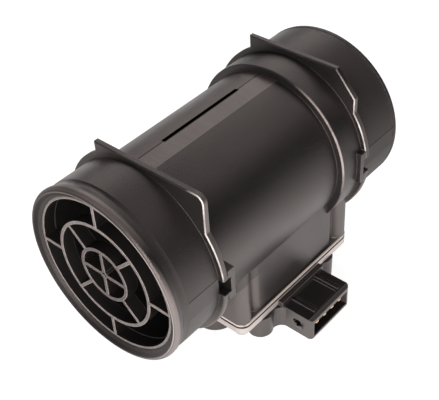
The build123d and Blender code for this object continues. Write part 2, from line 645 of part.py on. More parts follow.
def connector_outside():
    y0, y1 = MODULE_Y - ROOT_HALF_W, MODULE_Y + ROOT_HALF_W
    root = block(ROOT_IN_X, ROOT_OUT_X, y0, y1, HOUSING_BOTTOM_Z, ROOT_TOP_Z)
    root += block(WING_HALF_W - HOUSING_WALL, ROOT_OUT_X, y0, y1, HOUSING_BOTTOM_Z, PLATE_BOTTOM_Z)
    plan = RectangleRounded(2 * SHROUD_MOUTH_X, 2 * SHROUD_HALF_W, SHROUD_CORNER_R)
    shroud = slab(Pos(0, MODULE_Y) * plan, HOUSING_BOTTOM_Z, SHROUD_TOP_Z)
    shroud &= block(ROOT_IN_X, SHROUD_MOUTH_X, y0, y1, HOUSING_BOTTOM_Z, SHROUD_TOP_Z)
    return root + shroud + root_web(-1) + root_web(1) + key_ribs() + catches() - shroud_brow()


def shroud_brow():
    """Wedge that is taken off the top edge of the mouth."""
    points = [
        (SHROUD_MOUTH_X - SHROUD_BROW_X, SHROUD_TOP_Z),
        (SHROUD_MOUTH_X, SHROUD_TOP_Z - SHROUD_BROW_Z),
        (SHROUD_MOUTH_X + CUT, SHROUD_TOP_Z),
        (SHROUD_MOUTH_X, SHROUD_TOP_Z + CUT),
    ]
    outline = make_face(Polyline([(x, 0, z) for x, z in points], close=True))
    wedge = extrude(outline, 2 * SHROUD_HALF_W, dir=(0, 1, 0))
    return Pos(0, MODULE_Y - SHROUD_HALF_W, 0) * wedge


def connector_socket():
    y0, y1 = MODULE_Y - SOCKET_HALF_W, MODULE_Y + SOCKET_HALF_W
    return block(SOCKET_BACK_X, SHROUD_MOUTH_X + CUT, y0, y1, SOCKET_FLOOR_Z, SOCKET_TOP_Z)


def key_ribs():
    """Two low ribs along the top of the shroud."""
    z0, z1 = SHROUD_TOP_Z - CUT, SHROUD_TOP_Z + KEY_RIB_H
    starts = [MODULE_Y + offset for offset in KEY_RIB_YS]
    return [block(ROOT_OUT_X, KEY_END_X, y, y + KEY_RIB_W, z0, z1) for y in starts]


def key_grooves():
    """A groove behind each rib, and the lower panel between them."""
    cuts = []
    for offset in KEY_RIB_YS:
        y = MODULE_Y + offset + KEY_RIB_W
        z0 = SHROUD_TOP_Z - KEY_GROOVE_DEPTH
        cuts.append(block(ROOT_OUT_X, KEY_END_X, y, y + KEY_GROOVE_W, z0, SHROUD_TOP_Z + CUT))
    y0, y1 = MODULE_Y + PANEL_START, MODULE_Y + PANEL_END
    cuts.append(block(ROOT_OUT_X, KEY_END_X, y0, y1, SHROUD_TOP_Z - PANEL_DROP, SHROUD_TOP_Z + CUT))
    return cuts


def catches():
    """Wedge-shaped catches on the shroud's side walls, proud at the top and flush at the foot."""
    wedges = []
    for side in (-1, 1):
        wall = MODULE_Y + side * SHROUD_HALF_W
        proud, inside = wall + side * CATCH_PROUD, wall - side * CUT
        points = [
            (inside, CATCH_TOP_Z),
            (proud, CATCH_TOP_Z),
            (proud, CATCH_TOP_Z - CATCH_LAND),
            (wall, CATCH_BOTTOM_Z),
            (inside, CATCH_BOTTOM_Z),
        ]
        outline = make_face(Polyline([(LATCH_X, y, z) for y, z in points], close=True))
        wedges.append(extrude(outline, CATCH_L, dir=(1, 0, 0)))
    return wedges


def latch_windows():
    """Hexagonal windows through the shroud's side walls."""
    half_w, half_h = LATCH_W / 2, LATCH_H / 2
    points = [
        (-half_w, 0),
        (-half_h, half_h),
        (half_h, half_h),
        (half_w, 0),
        (half_h, -half_h),
        (-half_h, -half_h),
    ]
    outline = make_face(Polyline([(LATCH_X + x, 0, LATCH_Z + z) for x, z in points], close=True))
    cut = extrude(outline, SHROUD_HALF_W - SOCKET_HALF_W + 2 * CUT, dir=(0, 1, 0))
    near = Pos(0, MODULE_Y - SHROUD_HALF_W - CUT, 0) * cut
    far = Pos(0, MODULE_Y + SOCKET_HALF_W - CUT, 0) * cut
    return [near, far]


def electronics_housing():
    shell = slab(housing_plan(0), HOUSING_BOTTOM_Z, PLATE_BOTTOM_Z)
    shell -= slab(housing_plan(HOUSING_WALL), HOUSING_BOTTOM_Z, PLATE_BOTTOM_Z)
    for side in (-1, 1):
        edge = MODULE_Y + side * (WING_HALF_L - HOUSING_WALL)
        y0, y1 = sorted((edge, edge - side * SHELF_W))
        inner_x = NOSE_HALF_W - HOUSING_WALL
        for x0, x1 in ((-BOARD_HALF_W, -inner_x), (inner_x, BOARD_HALF_W)):
            shell += block(x0, x1, y0, y1, BOARD_TOP_Z, BOARD_TOP_Z + SHELF_T)
    for boss in boss_posts():
        shell += boss
    shell += connector_outside()
    shell -= connector_socket()
    seat_z = HOUSING_BOTTOM_Z + COVER_T + COVER_SEAL_T
    seat = slab(housing_plan(HOUSING_WALL - COVER_SEAT), HOUSING_BOTTOM_Z, seat_z)
    for boss in boss_posts():
        seat -= boss
    shell -= seat
    for cut in key_grooves() + latch_windows():
        shell -= cut
    for x, y in BOSS_POINTS:
        shell -= post(x, y, HOUSING_BOTTOM_Z, PLATE_BOTTOM_Z, THREAD_R + SCREW_HOLE_CLEAR)
        shell -= post(x, y, HOUSING_BOTTOM_Z, HOUSING_BOTTOM_Z + COUNTERBORE_DEPTH, COUNTERBORE_R)
    for y in PIN_YS:
        shell -= block(0, SOCKET_BACK_X, y - PIN_W / 2, y + PIN_W / 2, PIN_Z - PIN_T / 2, PIN_Z + PIN_T / 2)
    return shell


def cover_plan(gap):
    plan = housing_plan(HOUSING_WALL - COVER_SEAT + gap)
    for circle in boss_circles(LUG_BOSS_R + LUG_BOSS_DRAFT + gap):
        plan -= circle
    return plan


def housing_cover():
    return slab(cover_plan(COVER_FIT), HOUSING_BOTTOM_Z, HOUSING_BOTTOM_Z + COVER_T)


def cover_seal():
    z0 = HOUSING_BOTTOM_Z + COVER_T
    return slab(cover_plan(COVER_FIT) - cover_plan(COVER_SEAT), z0, z0 + COVER_SEAL_T)


# ---- terminals and circuit board ------------------------------------------------------------------
def terminal(y):
    """Blade in the socket, run back through the wall and turned up through the board."""
    blade = block(PIN_FOOT_X, PIN_TIP_X, y - PIN_W / 2, y + PIN_W / 2, PIN_Z - PIN_T / 2, PIN_Z + PIN_T / 2)
    tip = blade.edges().filter_by(Axis.Z).group_by(Axis.X)[-1]
    blade = chamfer(tip, PIN_TIP_SLOPE)
    half_w = PIN_TAIL_W / 2
    tail = block(PIN_FOOT_X, PIN_FOOT_X + PIN_T, y - half_w, y + half_w, PIN_Z, BOARD_TOP_Z + PIN_TAIL_UP)
    return blade + tail


def circuit_board():
    y0, y1 = WING_START + HOUSING_WALL + BOARD_CLEAR, WING_END - HOUSING_WALL - BOARD_CLEAR
    board = slab(rounded_plan(BOARD_HALF_W, y0, y1, BOARD_CORNER_R), BOARD_BOTTOM_Z, BOARD_TOP_Z)
    for y in PIN_YS:
        board -= post(PIN_FOOT_X + PIN_T / 2, y, BOARD_BOTTOM_Z, BOARD_TOP_Z, PIN_HOLE_R)
    return board


def on_board(size, at):
    """Component under the board, given by its size and its place from the module axis."""
    w, l, h = size
    x, y = at[0], MODULE_Y + at[1]
    return block(x - w / 2, x + w / 2, y - l / 2, y + l / 2, BOARD_BOTTOM_Z - h, BOARD_BOTTOM_Z)


def chip_capacitors():
    x, y = CAPACITOR_AT
    return [on_board(CAPACITOR_SIZE, (x, y + i * CAPACITOR_PITCH)) for i in range(CAPACITOR_COUNT)]


# ---- write the nodes ------------------------------------------------------------------------------
NODES = {
    "tube_housing": tube_housing(),
    "inlet_grid": inlet_grid(),
    "sensor_carrier": sensor_carrier(),
    "carrier_seal": carrier_seal(),
    "measuring_duct": measuring_duct(),
    "heater_element": element(HEATER_DY),
    "thermometer_element": element(THERMOMETER_DY),
    "thread_inserts": Compound(children=thread_inserts()),
    "plate_screws": Compound(children=plate_screws()),
    "plate_gasket": plate_gasket(),
    "base_plate": base_plate(),
    "electronics_housing": electronics_housing(),
    "housing_screws": Compound(children=housing_screws()),
    "housing_cover": housing_cover(),
    "cover_seal": cover_seal(),
    "circuit_board": circuit_board(),
    "control_chip": on_board(CHIP_SIZE, CHIP_AT),
    "power_transistor": on_board(TRANSISTOR_SIZE, TRANSISTOR_AT),
    "chip_capacitors": Compound(children=chip_capacitors()),
}
for number, pin_y in enumerate(PIN_YS, start=1):
    NODES[f"terminal_{number}"] = terminal(pin_y)

os.makedirs("parts", exist_ok=True)
for name, shape in NODES.items():
    export_step(shape, f"parts/{name}.step")
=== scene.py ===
import json
from math import cos, radians, sin

import bmesh
import bpy
from mathutils import Matrix, Vector


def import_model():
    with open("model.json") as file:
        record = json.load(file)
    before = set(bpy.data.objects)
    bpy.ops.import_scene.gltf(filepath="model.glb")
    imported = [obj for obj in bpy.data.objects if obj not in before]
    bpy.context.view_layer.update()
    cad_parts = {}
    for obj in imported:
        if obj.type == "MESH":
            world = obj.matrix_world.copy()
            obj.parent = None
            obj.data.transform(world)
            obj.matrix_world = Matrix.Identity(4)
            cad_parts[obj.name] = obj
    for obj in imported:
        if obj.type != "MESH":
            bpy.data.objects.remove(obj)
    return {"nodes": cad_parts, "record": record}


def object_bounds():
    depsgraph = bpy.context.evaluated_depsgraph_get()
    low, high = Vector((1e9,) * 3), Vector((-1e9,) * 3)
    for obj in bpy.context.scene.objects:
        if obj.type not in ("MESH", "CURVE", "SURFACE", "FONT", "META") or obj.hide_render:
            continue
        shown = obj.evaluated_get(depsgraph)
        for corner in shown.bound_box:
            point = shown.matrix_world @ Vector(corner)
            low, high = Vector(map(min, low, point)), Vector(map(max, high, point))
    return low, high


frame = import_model()
cad_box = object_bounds()
nodes = frame["nodes"]

MM = 0.001

# ---------------------------------------------------------------- places on the part
# All in millimetres in the part's own frame: Y runs along the flow from the inlet rim, Z is up, and R is
# the distance from the tube's axis. A pair is a low and a high limit.
BODY_Y = (25.8, 96.0)                       # between the front flange and the collar
CROWN_Z, CROWN_SOFT = 25.0, 6.0
STRIP_X = (-4.3, 4.1)                       # the glossier strip along the crown, with a painted sheen
STRIP_ARRIS_X = (3.8, 4.2)
LEFT_OF_STRIP_X = (-4.4, -4.2)
SLOT_X, SLOT_Y, SLOT_Z = (-5.5, -3.5), (41.4, 82.4), 32.0
SEAM_X = (-4.55, -4.1)                      # the mould seam in line with the slot
FLANK_SEAM_X, FLANK_SEAM_Z = 34.5, (4.0, 4.35)
FLANK_SEAMS_Y = ((7.4, 22.5), (111.6, 132.5))
BEAD_FRONT_Y, BEAD_FRONT_R = (2.4, 2.8), 33.5
RIM_Y, RIM_R = (0.5, 0.7), (34.8, 35.4)     # the edge of the inlet's mouth
BEAD_CREST_Y, BEAD_CREST_R = (-0.2, 2.0), (35.5, 37.3)
BEAD_TOP_Y, BEAD_TOP_R, BEAD_TOP_SOFT = (0.3, 3.0), 35.4, 0.4
SLEEVE_R = 35.2
FRONT_SLEEVE_Y, REAR_SLEEVE_Y = (3.5, 22.4), 111.4
COLUMNS_FRONT_Y, COLUMNS_REAR_Y = (50.0, 56.0), (97.0, 101.0)
COLUMNS_Z, COLUMNS_R = (-22.0, -8.0), 36.3
BASE_LIP_X, BASE_LIP_Z = 29.6, (-42.6, -41.5)   # the foot of the pedestal, over the gasket
FLANGE_ARRISES_Y, FLANGE_ARRIS_R = ((22.4, 22.88), (108.4, 108.88)), 36.7
FLANGE_SIDES_Y, FLANGE_SIDE_R = ((22.9, 24.9), (108.9, 110.9)), 36.9
FLANGE_Z, FLANGE_SOFT = 5.0, 2.0            # the flanges' arrises and sides get painted highlights above this
COLLAR_Y, COLLAR_R = (95.9, 96.7), 35.8     # the front edge of the collar
COLLAR_Z, COLLAR_SOFT = -2.0, 6.0
GRID_R = (9.0, 23.0)                        # the painted reflection on the grid's front faces gets paler over this range
PLATE_LINE_Z, PLATE_LINE_SOFT = -43.45, 0.08

# Ranges across the part, over which a tone or a gloss comes in or fades.
BEAD_SHADE_X = (-8, 26)
SLEEVE_GLOSS_X, OUTLET_GLOSS_X = (-6, 10), (-4, 12)
SLEEVE_LEFT_X, SLEEVE_LEFT_Z, SLEEVE_LEFT_SOFT = (-16, -4), 10, 6
RIM_HIGHLIGHT_X, RIM_HIGHLIGHT_Z = (-30, 25), (-30, -5)
FLANGE_SIDE_X, FLANGE_ARRIS_X = (26, 31), (24, 31)
CREST_X, CREST_Z, CREST_SOFT = (14, 30), (-24, 17), 8
BEAD_TOP_X, BEAD_TOP_Z = (4, 26), (8, 22)
COLLAR_X = (12, 28)

# How soft the limits of a fine line, a sharp line, a highlight painted on a round and the sleeve are.
FINE_SOFT, SHARP_SOFT, ROUND_SOFT, SLEEVE_SOFT = 0.06, 0.05, 0.3, 0.6

# ---------------------------------------------------------------- colours, all linear
SHADE_AND_SEAM_BLACK = (0.0005, 0.0005, 0.0005)
EDGE_HIGHLIGHT = (0.62, 0.54, 0.51)
CROWN_STRIP_PAINTED_SHEEN = ((0.042, 0.033, 0.031), (0.056, 0.045, 0.042))
CROWN_LEFT_PAINTED_SHEEN = (0.060, 0.049, 0.046)
STRIP_ARRIS_HIGHLIGHT = (0.085, 0.07, 0.066)
SLEEVE_LEFT_PAINTED_SHEEN = (0.075, 0.062, 0.058)
RIM_HIGHLIGHT = (0.60, 0.53, 0.51)
COLUMN_HIGHLIGHT = (0.075, 0.067, 0.064)
BASE_LIP_HIGHLIGHT = (0.86, 0.75, 0.68)
FLANGE_SIDE_PAINTED_SHEEN = (0.065, 0.057, 0.054)
FLANGE_ARRIS_HIGHLIGHT = (0.93, 0.84, 0.80)
COLLAR_HIGHLIGHT = (0.52, 0.44, 0.42)
CREST_HIGHLIGHT = (0.20, 0.17, 0.162)
BEAD_TOP_HIGHLIGHT = (0.17, 0.145, 0.138)
GRID_HUB_PAINTED_REFLECTION, GRID_OUTER_PAINTED_REFLECTION = (0.10, 0.086, 0.082), (0.25, 0.215, 0.205)
HOUSING_FLANK_PAINTED_SHEEN = (0.022, 0.021, 0.0205)
HOUSING_FRONT_PAINTED_SHEEN = (0.062, 0.057, 0.055)
PLATE_GAP_SHADE = (0.03, 0.024, 0.022)
PLASTIC_SPECULAR = (1.0, 0.86, 0.83, 1.0)


# ---------------------------------------------------------------- node graphs
class Graph:
    """The node tree of a material or world, with short ways to add and join nodes."""

    def __init__(self, owner, shader="Principled BSDF"):
        owner.use_nodes = True
        self.owner = owner
        self.tree = owner.node_tree
        self.shader = self.tree.nodes[shader]

    def node(self, kind, **settings):
        made = self.tree.nodes.new(kind)
        for key, value in settings.items():
            setattr(made, key, value)
        return made

    def link(self, output, socket):
        self.tree.links.new(output, socket)

    def coords(self):
        return self.node("ShaderNodeTexCoord").outputs["Object"]

    def noise(self, scale, detail=3.0, roughness=0.5, stretch=None):
        source = self.coords()
        if stretch:
            mapping = self.node("ShaderNodeMapping")
            mapping.inputs["Scale"].default_value = stretch
            self.link(source, mapping.inputs["Vector"])
            source = mapping.outputs["Vector"]
        made = self.node("ShaderNodeTexNoise")
        made.inputs["Scale"].default_value = scale
        made.inputs["Detail"].default_value = detail
        made.inputs["Roughness"].default_value = roughness
        self.link(source, made.inputs["Vector"])
        return made.outputs["Fac"]

    def span(self, value, low, high, to_low=0.0, to_high=1.0):
        """Goes from to_low to to_high while the value goes from low to high."""
        made = self.node("ShaderNodeMapRange")
        for key, number in zip(
            ("From Min", "From Max", "To Min", "To Max"), (low, high, to_low, to_high)
        ):
            made.inputs[key].default_value = number
        self.link(value, made.inputs["Value"])
        return made.outputs["Result"]

    def math(self, operation, a, b=None):
        made = self.node("ShaderNodeMath", operation=operation)
        for socket, value in zip(made.inputs, (a, b)):
            if isinstance(value, (int, float)):
                socket.default_value = value
            elif value is not None:
                self.link(value, socket)
        return made.outputs["Value"]

    def mix(self, share, a, b):
        """Colour a where the share is 0, and b where it is 1."""
        made = self.node("ShaderNodeMix", data_type="RGBA")
        self.link(share, made.inputs[0])
        for index, value in ((6, a), (7, b)):
            if isinstance(value, tuple):
                made.inputs[index].default_value = (*value, 1.0)
            else:
                self.link(value, made.inputs[index])
        return made.outputs[2]

    def all_of(self, *masks):
        mask = masks[0]
        for other in masks[1:]:
            mask = self.math("MULTIPLY", mask, other)
        return mask

    def either(self, *masks):
        mask = masks[0]
        for other in masks[1:]:
            mask = self.math("MAXIMUM", mask, other)
        return mask

    def place(self):
        """The point's own x, y and z in the part, in metres."""
        made = self.node("ShaderNodeSeparateXYZ")
        self.link(self.coords(), made.inputs[0])
        return made.outputs[0], made.outputs[1], made.outputs[2]

    def radius(self):
        """Distance from the tube's axis, in metres."""
        x, _, z = self.place()
        return self.math("SQRT", self.math("ADD", self.math("MULTIPLY", x, x), self.math("MULTIPLY", z, z)))

    def ramp(self, value, limits, start=0.0, end=1.0):
        """Goes from start to end while the value, in metres, goes between the limits, in millimetres."""
        low, high = limits
        return self.span(value, low * MM, high * MM, start, end)

    def above(self, value, limit, soft=0.1):
        """1 where the value is over the limit in millimetres."""
        return self.ramp(value, (limit - soft, limit + soft))

    def band(self, value, limits, soft=0.1):
        """1 where the value lies between the limits in millimetres."""
        low, high = limits
        return self.all_of(
            self.above(value, low, soft), self.ramp(value, (high - soft, high + soft), 1.0, 0.0)
        )

    def normal(self):
        """The x, y and z of the face's normal."""
        made = self.node("ShaderNodeSeparateXYZ")
        self.link(self.node("ShaderNodeNewGeometry").outputs["Normal"], made.inputs[0])
        return made.outputs[0], made.outputs[1], made.outputs[2]

    def facing_inlet(self, low, high):
        """1 on faces that look towards the inlet end."""
        return self.span(self.math("MULTIPLY", self.normal()[1], -1.0), low, high)

    def open_air(self, reach):
        """1 on convex edges and open faces, lower in inner corners."""
        made = self.node("ShaderNodeAmbientOcclusion", samples=6)
        made.inputs["Distance"].default_value = reach
        return self.span(made.outputs["AO"], 0.72, 0.92)

    def edges(self, radius):
        """0 on faces and up to 1 on edges rounded by that radius, and the rounded normal."""
        bevel = self.node("ShaderNodeBevel", samples=6)
        bevel.inputs["Radius"].default_value = radius
        flat = self.node("ShaderNodeNewGeometry").outputs["Normal"]
        dot = self.node("ShaderNodeVectorMath", operation="DOT_PRODUCT")
        self.link(bevel.outputs["Normal"], dot.inputs[0])
        self.link(flat, dot.inputs[1])
        return self.span(dot.outputs["Value"], 0.995, 0.86), bevel.outputs["Normal"]

    def bump(self, height, distance, normal):
        made = self.node("ShaderNodeBump")
        made.inputs["Distance"].default_value = distance
        self.link(height, made.inputs["Height"])
        self.link(normal, made.inputs["Normal"])
        return made.outputs["Normal"]


def shaded(colour, share):
    return tuple(c * share for c in colour)


# ---------------------------------------------------------------- kinds of material
def moulded(
    name, colour, edge_highlight, roughness, grain=0.03 * MM, edge_radius=0.45 * MM, sheen=1.0, dress=None
):
    """Moulded plastic: fine spark-eroded grain, slow tone changes, and paler rounded edges, a painted
    highlight.
    """
    g = Graph(bpy.data.materials.new(name))
    slow = g.noise(45.0, 4.0)
    fine = g.noise(2100.0, 2.0)
    tone = g.mix(g.span(slow, 0.35, 0.65), shaded(colour, 0.86), shaded(colour, 1.16))
    tone = g.mix(g.span(fine, 0.42, 0.7), tone, shaded(colour, 1.35))
    gloss = g.span(slow, 0.3, 0.7, roughness - 0.04, roughness + 0.04)
    edge, rounded = g.edges(edge_radius)
    # The edge highlight is painted, patchy, and kept off inner corners.
    edge = g.all_of(edge, g.open_air(2.0 * MM), g.span(g.noise(260.0, 3.0), 0.3, 0.6, 0.5, 1.0))
    if dress:
        tone, gloss, edge = dress(g, tone, gloss, edge)
    g.link(g.mix(edge, tone, edge_highlight), g.shader.inputs["Base Color"])
    g.link(gloss, g.shader.inputs["Roughness"])
    g.shader.inputs["Specular IOR Level"].default_value = sheen
    g.shader.inputs["Specular Tint"].default_value = PLASTIC_SPECULAR
    g.link(g.bump(fine, grain, rounded), g.shader.inputs["Normal"])
    return g.owner


def metal(name, colour, roughness, stretch=(1, 1, 1), scratch=0.01 * MM, metallic=1.0, dress=None):
    """Metal with drawn or machined marks along one direction."""
    g = Graph(bpy.data.materials.new(name))
    marks = g.noise(900.0, 3.0, 0.6, stretch)
    slow = g.noise(60.0, 3.0)
    tone = g.mix(g.span(marks, 0.3, 0.7), shaded(colour, 0.84), colour)
    g.link(dress(g, tone) if dress else tone, g.shader.inputs["Base Color"])
    g.link(g.span(slow, 0.3, 0.7, roughness - 0.06, roughness + 0.08), g.shader.inputs["Roughness"])
    g.shader.inputs["Metallic"].default_value = metallic
    _, rounded = g.edges(0.3 * MM)
    g.link(g.bump(marks, scratch, rounded), g.shader.inputs["Normal"])
    return g.owner


def glassy(name, colour):
    """Coated glass, with the film showing as faint bands."""
    g = Graph(bpy.data.materials.new(name))
    bands = g.noise(400.0, 2.0, 0.5, (1, 6, 1))
    g.link(g.mix(g.span(bands, 0.4, 0.6), colour, shaded(colour, 0.7)), g.shader.inputs["Base Color"])
    g.shader.inputs["Roughness"].default_value = 0.12
    return g.owner


def laminate(name, colour, copper):
    """Green solder mask with the tracks showing through."""
    g = Graph(bpy.data.materials.new(name))
    brick = g.node("ShaderNodeTexBrick")
    brick.inputs["Scale"].default_value = 220.0
    brick.inputs["Mortar Size"].default_value = 0.03
    for key, shade in (("Color1", colour), ("Color2", shaded(colour, 0.9)), ("Mortar", copper)):
        brick.inputs[key].default_value = (*shade, 1.0)
    g.link(g.coords(), brick.inputs["Vector"])
    g.link(brick.outputs["Color"], g.shader.inputs["Base Color"])
    g.shader.inputs["Roughness"].default_value = 0.4
    return g.owner


# ---------------------------------------------------------------- what each piece's finish shows, with painted light and shade
def dress_tube(g, tone, gloss, edge):
    """The tube housing: its crown, its dark lines, the inlet bead and sleeves, and the pedestal, with
    painted highlights and shade on them.
    """
    tone, gloss = crown_gloss_and_painted_sheen(g, tone, gloss)
    lines = shade_and_seam_lines(g)
    # The slot gets a painted shade, the flank seams a painted shadow, and the crown seam a dark line.
    tone = g.mix(lines, tone, SHADE_AND_SEAM_BLACK)
    edge = g.all_of(edge, g.span(lines, 0.0, 0.5, 0.22, 0.0))

    x, y, z = g.place()
    r = g.radius()
    # The front of the bead gets a painted shade towards the left: part metallic black, and no pale edges.
    bead_front = g.all_of(g.ramp(y, BEAD_FRONT_Y, 1.0, 0.0), g.above(r, BEAD_FRONT_R))
    bead_shade = g.all_of(bead_front, g.ramp(x, BEAD_SHADE_X, 1.0, 0.2))
    edge = g.all_of(edge, g.span(bead_shade, 0.0, 1.0, 1.0, 0.0))
    # Metallic black keeps reflections off the painted shade of the lines and of the bead's front.
    g.link(g.either(lines, g.math("MULTIPLY", bead_shade, 0.5)), g.shader.inputs["Metallic"])

    sleeve = g.all_of(g.band(y, FRONT_SLEEVE_Y, SLEEVE_SOFT), g.above(r, SLEEVE_R))
    gloss = g.math("ADD", gloss, g.all_of(sleeve, g.ramp(x, SLEEVE_GLOSS_X, -0.04, 0.12)))
    # Painted sheen on the upper left of the front sleeve.
    left = g.all_of(g.ramp(x, SLEEVE_LEFT_X, 1.0, 0.0), g.above(z, SLEEVE_LEFT_Z, SLEEVE_LEFT_SOFT))
    tone = g.mix(g.all_of(sleeve, left), tone, SLEEVE_LEFT_PAINTED_SHEEN)
    outlet = g.all_of(g.above(y, REAR_SLEEVE_Y), g.above(r, SLEEVE_R))
    gloss = g.math("ADD", gloss, g.all_of(outlet, g.ramp(x, OUTLET_GLOSS_X, 0.0, 0.2)))

    # Painted highlight on the edge of the inlet's mouth, strongest to the right and weaker low down.
    rim = g.all_of(
        g.band(r, RIM_R), g.ramp(y, RIM_Y, 1.0, 0.0),
        g.ramp(x, RIM_HIGHLIGHT_X, 0.15, 1.0), g.ramp(z, RIM_HIGHLIGHT_Z, 0.3, 1.0),
    )
    tone = g.mix(g.math("MULTIPLY", rim, 0.8), tone, RIM_HIGHLIGHT)
    # Painted highlight on the pedestal's columns.
    columns = g.either(g.ramp(y, COLUMNS_FRONT_Y, 1.0, 0.0), g.ramp(y, COLUMNS_REAR_Y))
    columns = g.all_of(columns, g.ramp(z, COLUMNS_Z, 1.0, 0.0), g.above(r, COLUMNS_R))
    tone = paint_right_highlights(g, g.mix(columns, tone, COLUMN_HIGHLIGHT))
    # Painted highlight on the foot of the pedestal, at its sides and on faces towards the inlet.
    foot = g.band(z, BASE_LIP_Z, SHARP_SOFT)
    lip = g.all_of(foot, g.either(g.above(g.math("ABSOLUTE", x), BASE_LIP_X), g.facing_inlet(0.3, 0.8)))
    return g.mix(g.math("MULTIPLY", lip, 0.85), tone, BASE_LIP_HIGHLIGHT), gloss, edge


def crown_gloss_and_painted_sheen(g, tone, gloss):
    """The glossier strip along the crown with a painted sheen, a painted highlight on its right arris, and
    a painted sheen on the side to its left.
    """
    x, y, z = g.place()
    crown = g.all_of(g.above(z, CROWN_Z, CROWN_SOFT), g.band(y, BODY_Y))
    strip = g.all_of(crown, g.band(x, STRIP_X))
    ribs = g.span(g.noise(500.0, 2.0, 0.5, (0.1, 1.6, 0.1)), 0.35, 0.65)
    # The strip is glossier, and its paler tone is a painted sheen.
    tone = g.mix(strip, tone, g.mix(ribs, *CROWN_STRIP_PAINTED_SHEEN))
    # Painted sheen on the crown left of the strip.
    tone = g.mix(g.all_of(crown, g.ramp(x, LEFT_OF_STRIP_X, 1.0, 0.0)), tone, CROWN_LEFT_PAINTED_SHEEN)
    # Painted highlight along the strip's right arris.
    tone = g.mix(g.all_of(crown, g.band(x, STRIP_ARRIS_X)), tone, STRIP_ARRIS_HIGHLIGHT)
    return tone, g.math("SUBTRACT", gloss, g.math("MULTIPLY", strip, 0.10))


def shade_and_seam_lines(g):
    """1 in the slot and its margins, a painted shade in the recess; along the mould seam beside it, a dark
    line; and on the sleeves' flank seams, a painted shadow of their step.
    """
    x, y, z = g.place()
    slot = g.all_of(g.band(x, SLOT_X), g.band(y, SLOT_Y), g.above(z, SLOT_Z))
    crown = g.all_of(g.above(z, CROWN_Z, CROWN_SOFT), g.band(y, BODY_Y))
    seam = g.all_of(crown, g.band(x, SEAM_X, FINE_SOFT))
    sleeves = g.either(*(g.band(y, limits) for limits in FLANK_SEAMS_Y))
    flank = g.all_of(g.above(x, FLANK_SEAM_X), g.band(z, FLANK_SEAM_Z, FINE_SOFT), sleeves)
    return g.either(slot, seam, g.math("MULTIPLY", flank, 0.9))


def paint_right_highlights(g, tone):
    """Painted highlights along the right-hand side of the flanges, the collar and the inlet bead."""
    x, y, z = g.place()
    r = g.radius()
    right_top = g.above(z, FLANGE_Z, FLANGE_SOFT)
    side = g.either(*(g.band(y, limits) for limits in FLANGE_SIDES_Y))
    side = g.all_of(side, g.above(r, FLANGE_SIDE_R), g.ramp(x, FLANGE_SIDE_X), right_top)
    # Painted sheen on the right-hand sides of the flanges.
    tone = g.mix(side, tone, FLANGE_SIDE_PAINTED_SHEEN)
    # Painted highlight on the crest of the bead, on its right.
    crest = g.all_of(
        g.band(r, BEAD_CREST_R, ROUND_SOFT), g.band(y, BEAD_CREST_Y, ROUND_SOFT),
        g.ramp(x, CREST_X), g.band(z, CREST_Z, CREST_SOFT),
    )
    tone = g.mix(crest, tone, CREST_HIGHLIGHT)
    # Painted highlight along the top of the bead.
    bead_top = g.all_of(
        g.above(r, BEAD_TOP_R, BEAD_TOP_SOFT), g.band(y, BEAD_TOP_Y, ROUND_SOFT),
        g.ramp(z, BEAD_TOP_Z), g.ramp(x, BEAD_TOP_X, 1.0, 0.0),
    )
    tone = g.mix(bead_top, tone, BEAD_TOP_HIGHLIGHT)
    patchy = g.span(g.noise(160.0, 3.0), 0.3, 0.55, 0.45, 1.0)
    arrises = g.either(*(g.band(y, limits, SHARP_SOFT) for limits in FLANGE_ARRISES_Y))
    off_front = g.span(g.facing_inlet(0.80, 0.97), 0.0, 1.0, 1.0, 0.0)
    arrises = g.all_of(
        arrises, g.above(r, FLANGE_ARRIS_R), off_front, g.ramp(x, FLANGE_ARRIS_X), right_top
    )
    # Patchy painted highlight on the flanges' arrises.
    tone = g.mix(g.all_of(arrises, patchy), tone, FLANGE_ARRIS_HIGHLIGHT)
    collar = g.all_of(
        g.band(y, COLLAR_Y), g.above(r, COLLAR_R), g.ramp(x, COLLAR_X), g.above(z, COLLAR_Z, COLLAR_SOFT)
    )
    # Patchy painted highlight on the front edge of the collar.
    return g.mix(g.all_of(collar, patchy), tone, COLLAR_HIGHLIGHT)


def dress_grid(g, tone, gloss, edge):
    """The grid's front faces are painted paler than the walls of its cells, a patchy painted reflection
    that gets paler away from the hub.
    """
    uneven = g.span(g.noise(700.0, 3.0), 0.35, 0.65, 0.55, 1.0)
    pale = g.mix(g.ramp(g.radius(), GRID_R), GRID_HUB_PAINTED_REFLECTION, GRID_OUTER_PAINTED_REFLECTION)
    return g.mix(g.all_of(g.facing_inlet(0.6, 0.95), uneven), tone, pale), gloss, edge


def dress_housing(g, tone, gloss, edge):
    """Upward faces keep the mould's black; the flanks get a painted sheen, paler and matt towards the
    inlet.
    """
    flank = g.span(g.math("ABSOLUTE", g.normal()[2]), 0.3, 0.7, 1.0, 0.0)
    front = g.all_of(flank, g.facing_inlet(0.1, 0.8))
    tone = g.mix(front, g.mix(flank, tone, HOUSING_FLANK_PAINTED_SHEEN), HOUSING_FRONT_PAINTED_SHEEN)
    return tone, g.math("ADD", gloss, g.math("MULTIPLY", front, 0.1)), edge


def dress_plate(g, tone):
    """A painted shade along the upper edge of the plate, in the gap over the gasket."""
    _, _, z = g.place()
    return g.mix(g.above(z, PLATE_LINE_Z, PLATE_LINE_SOFT), tone, PLATE_GAP_SHADE)


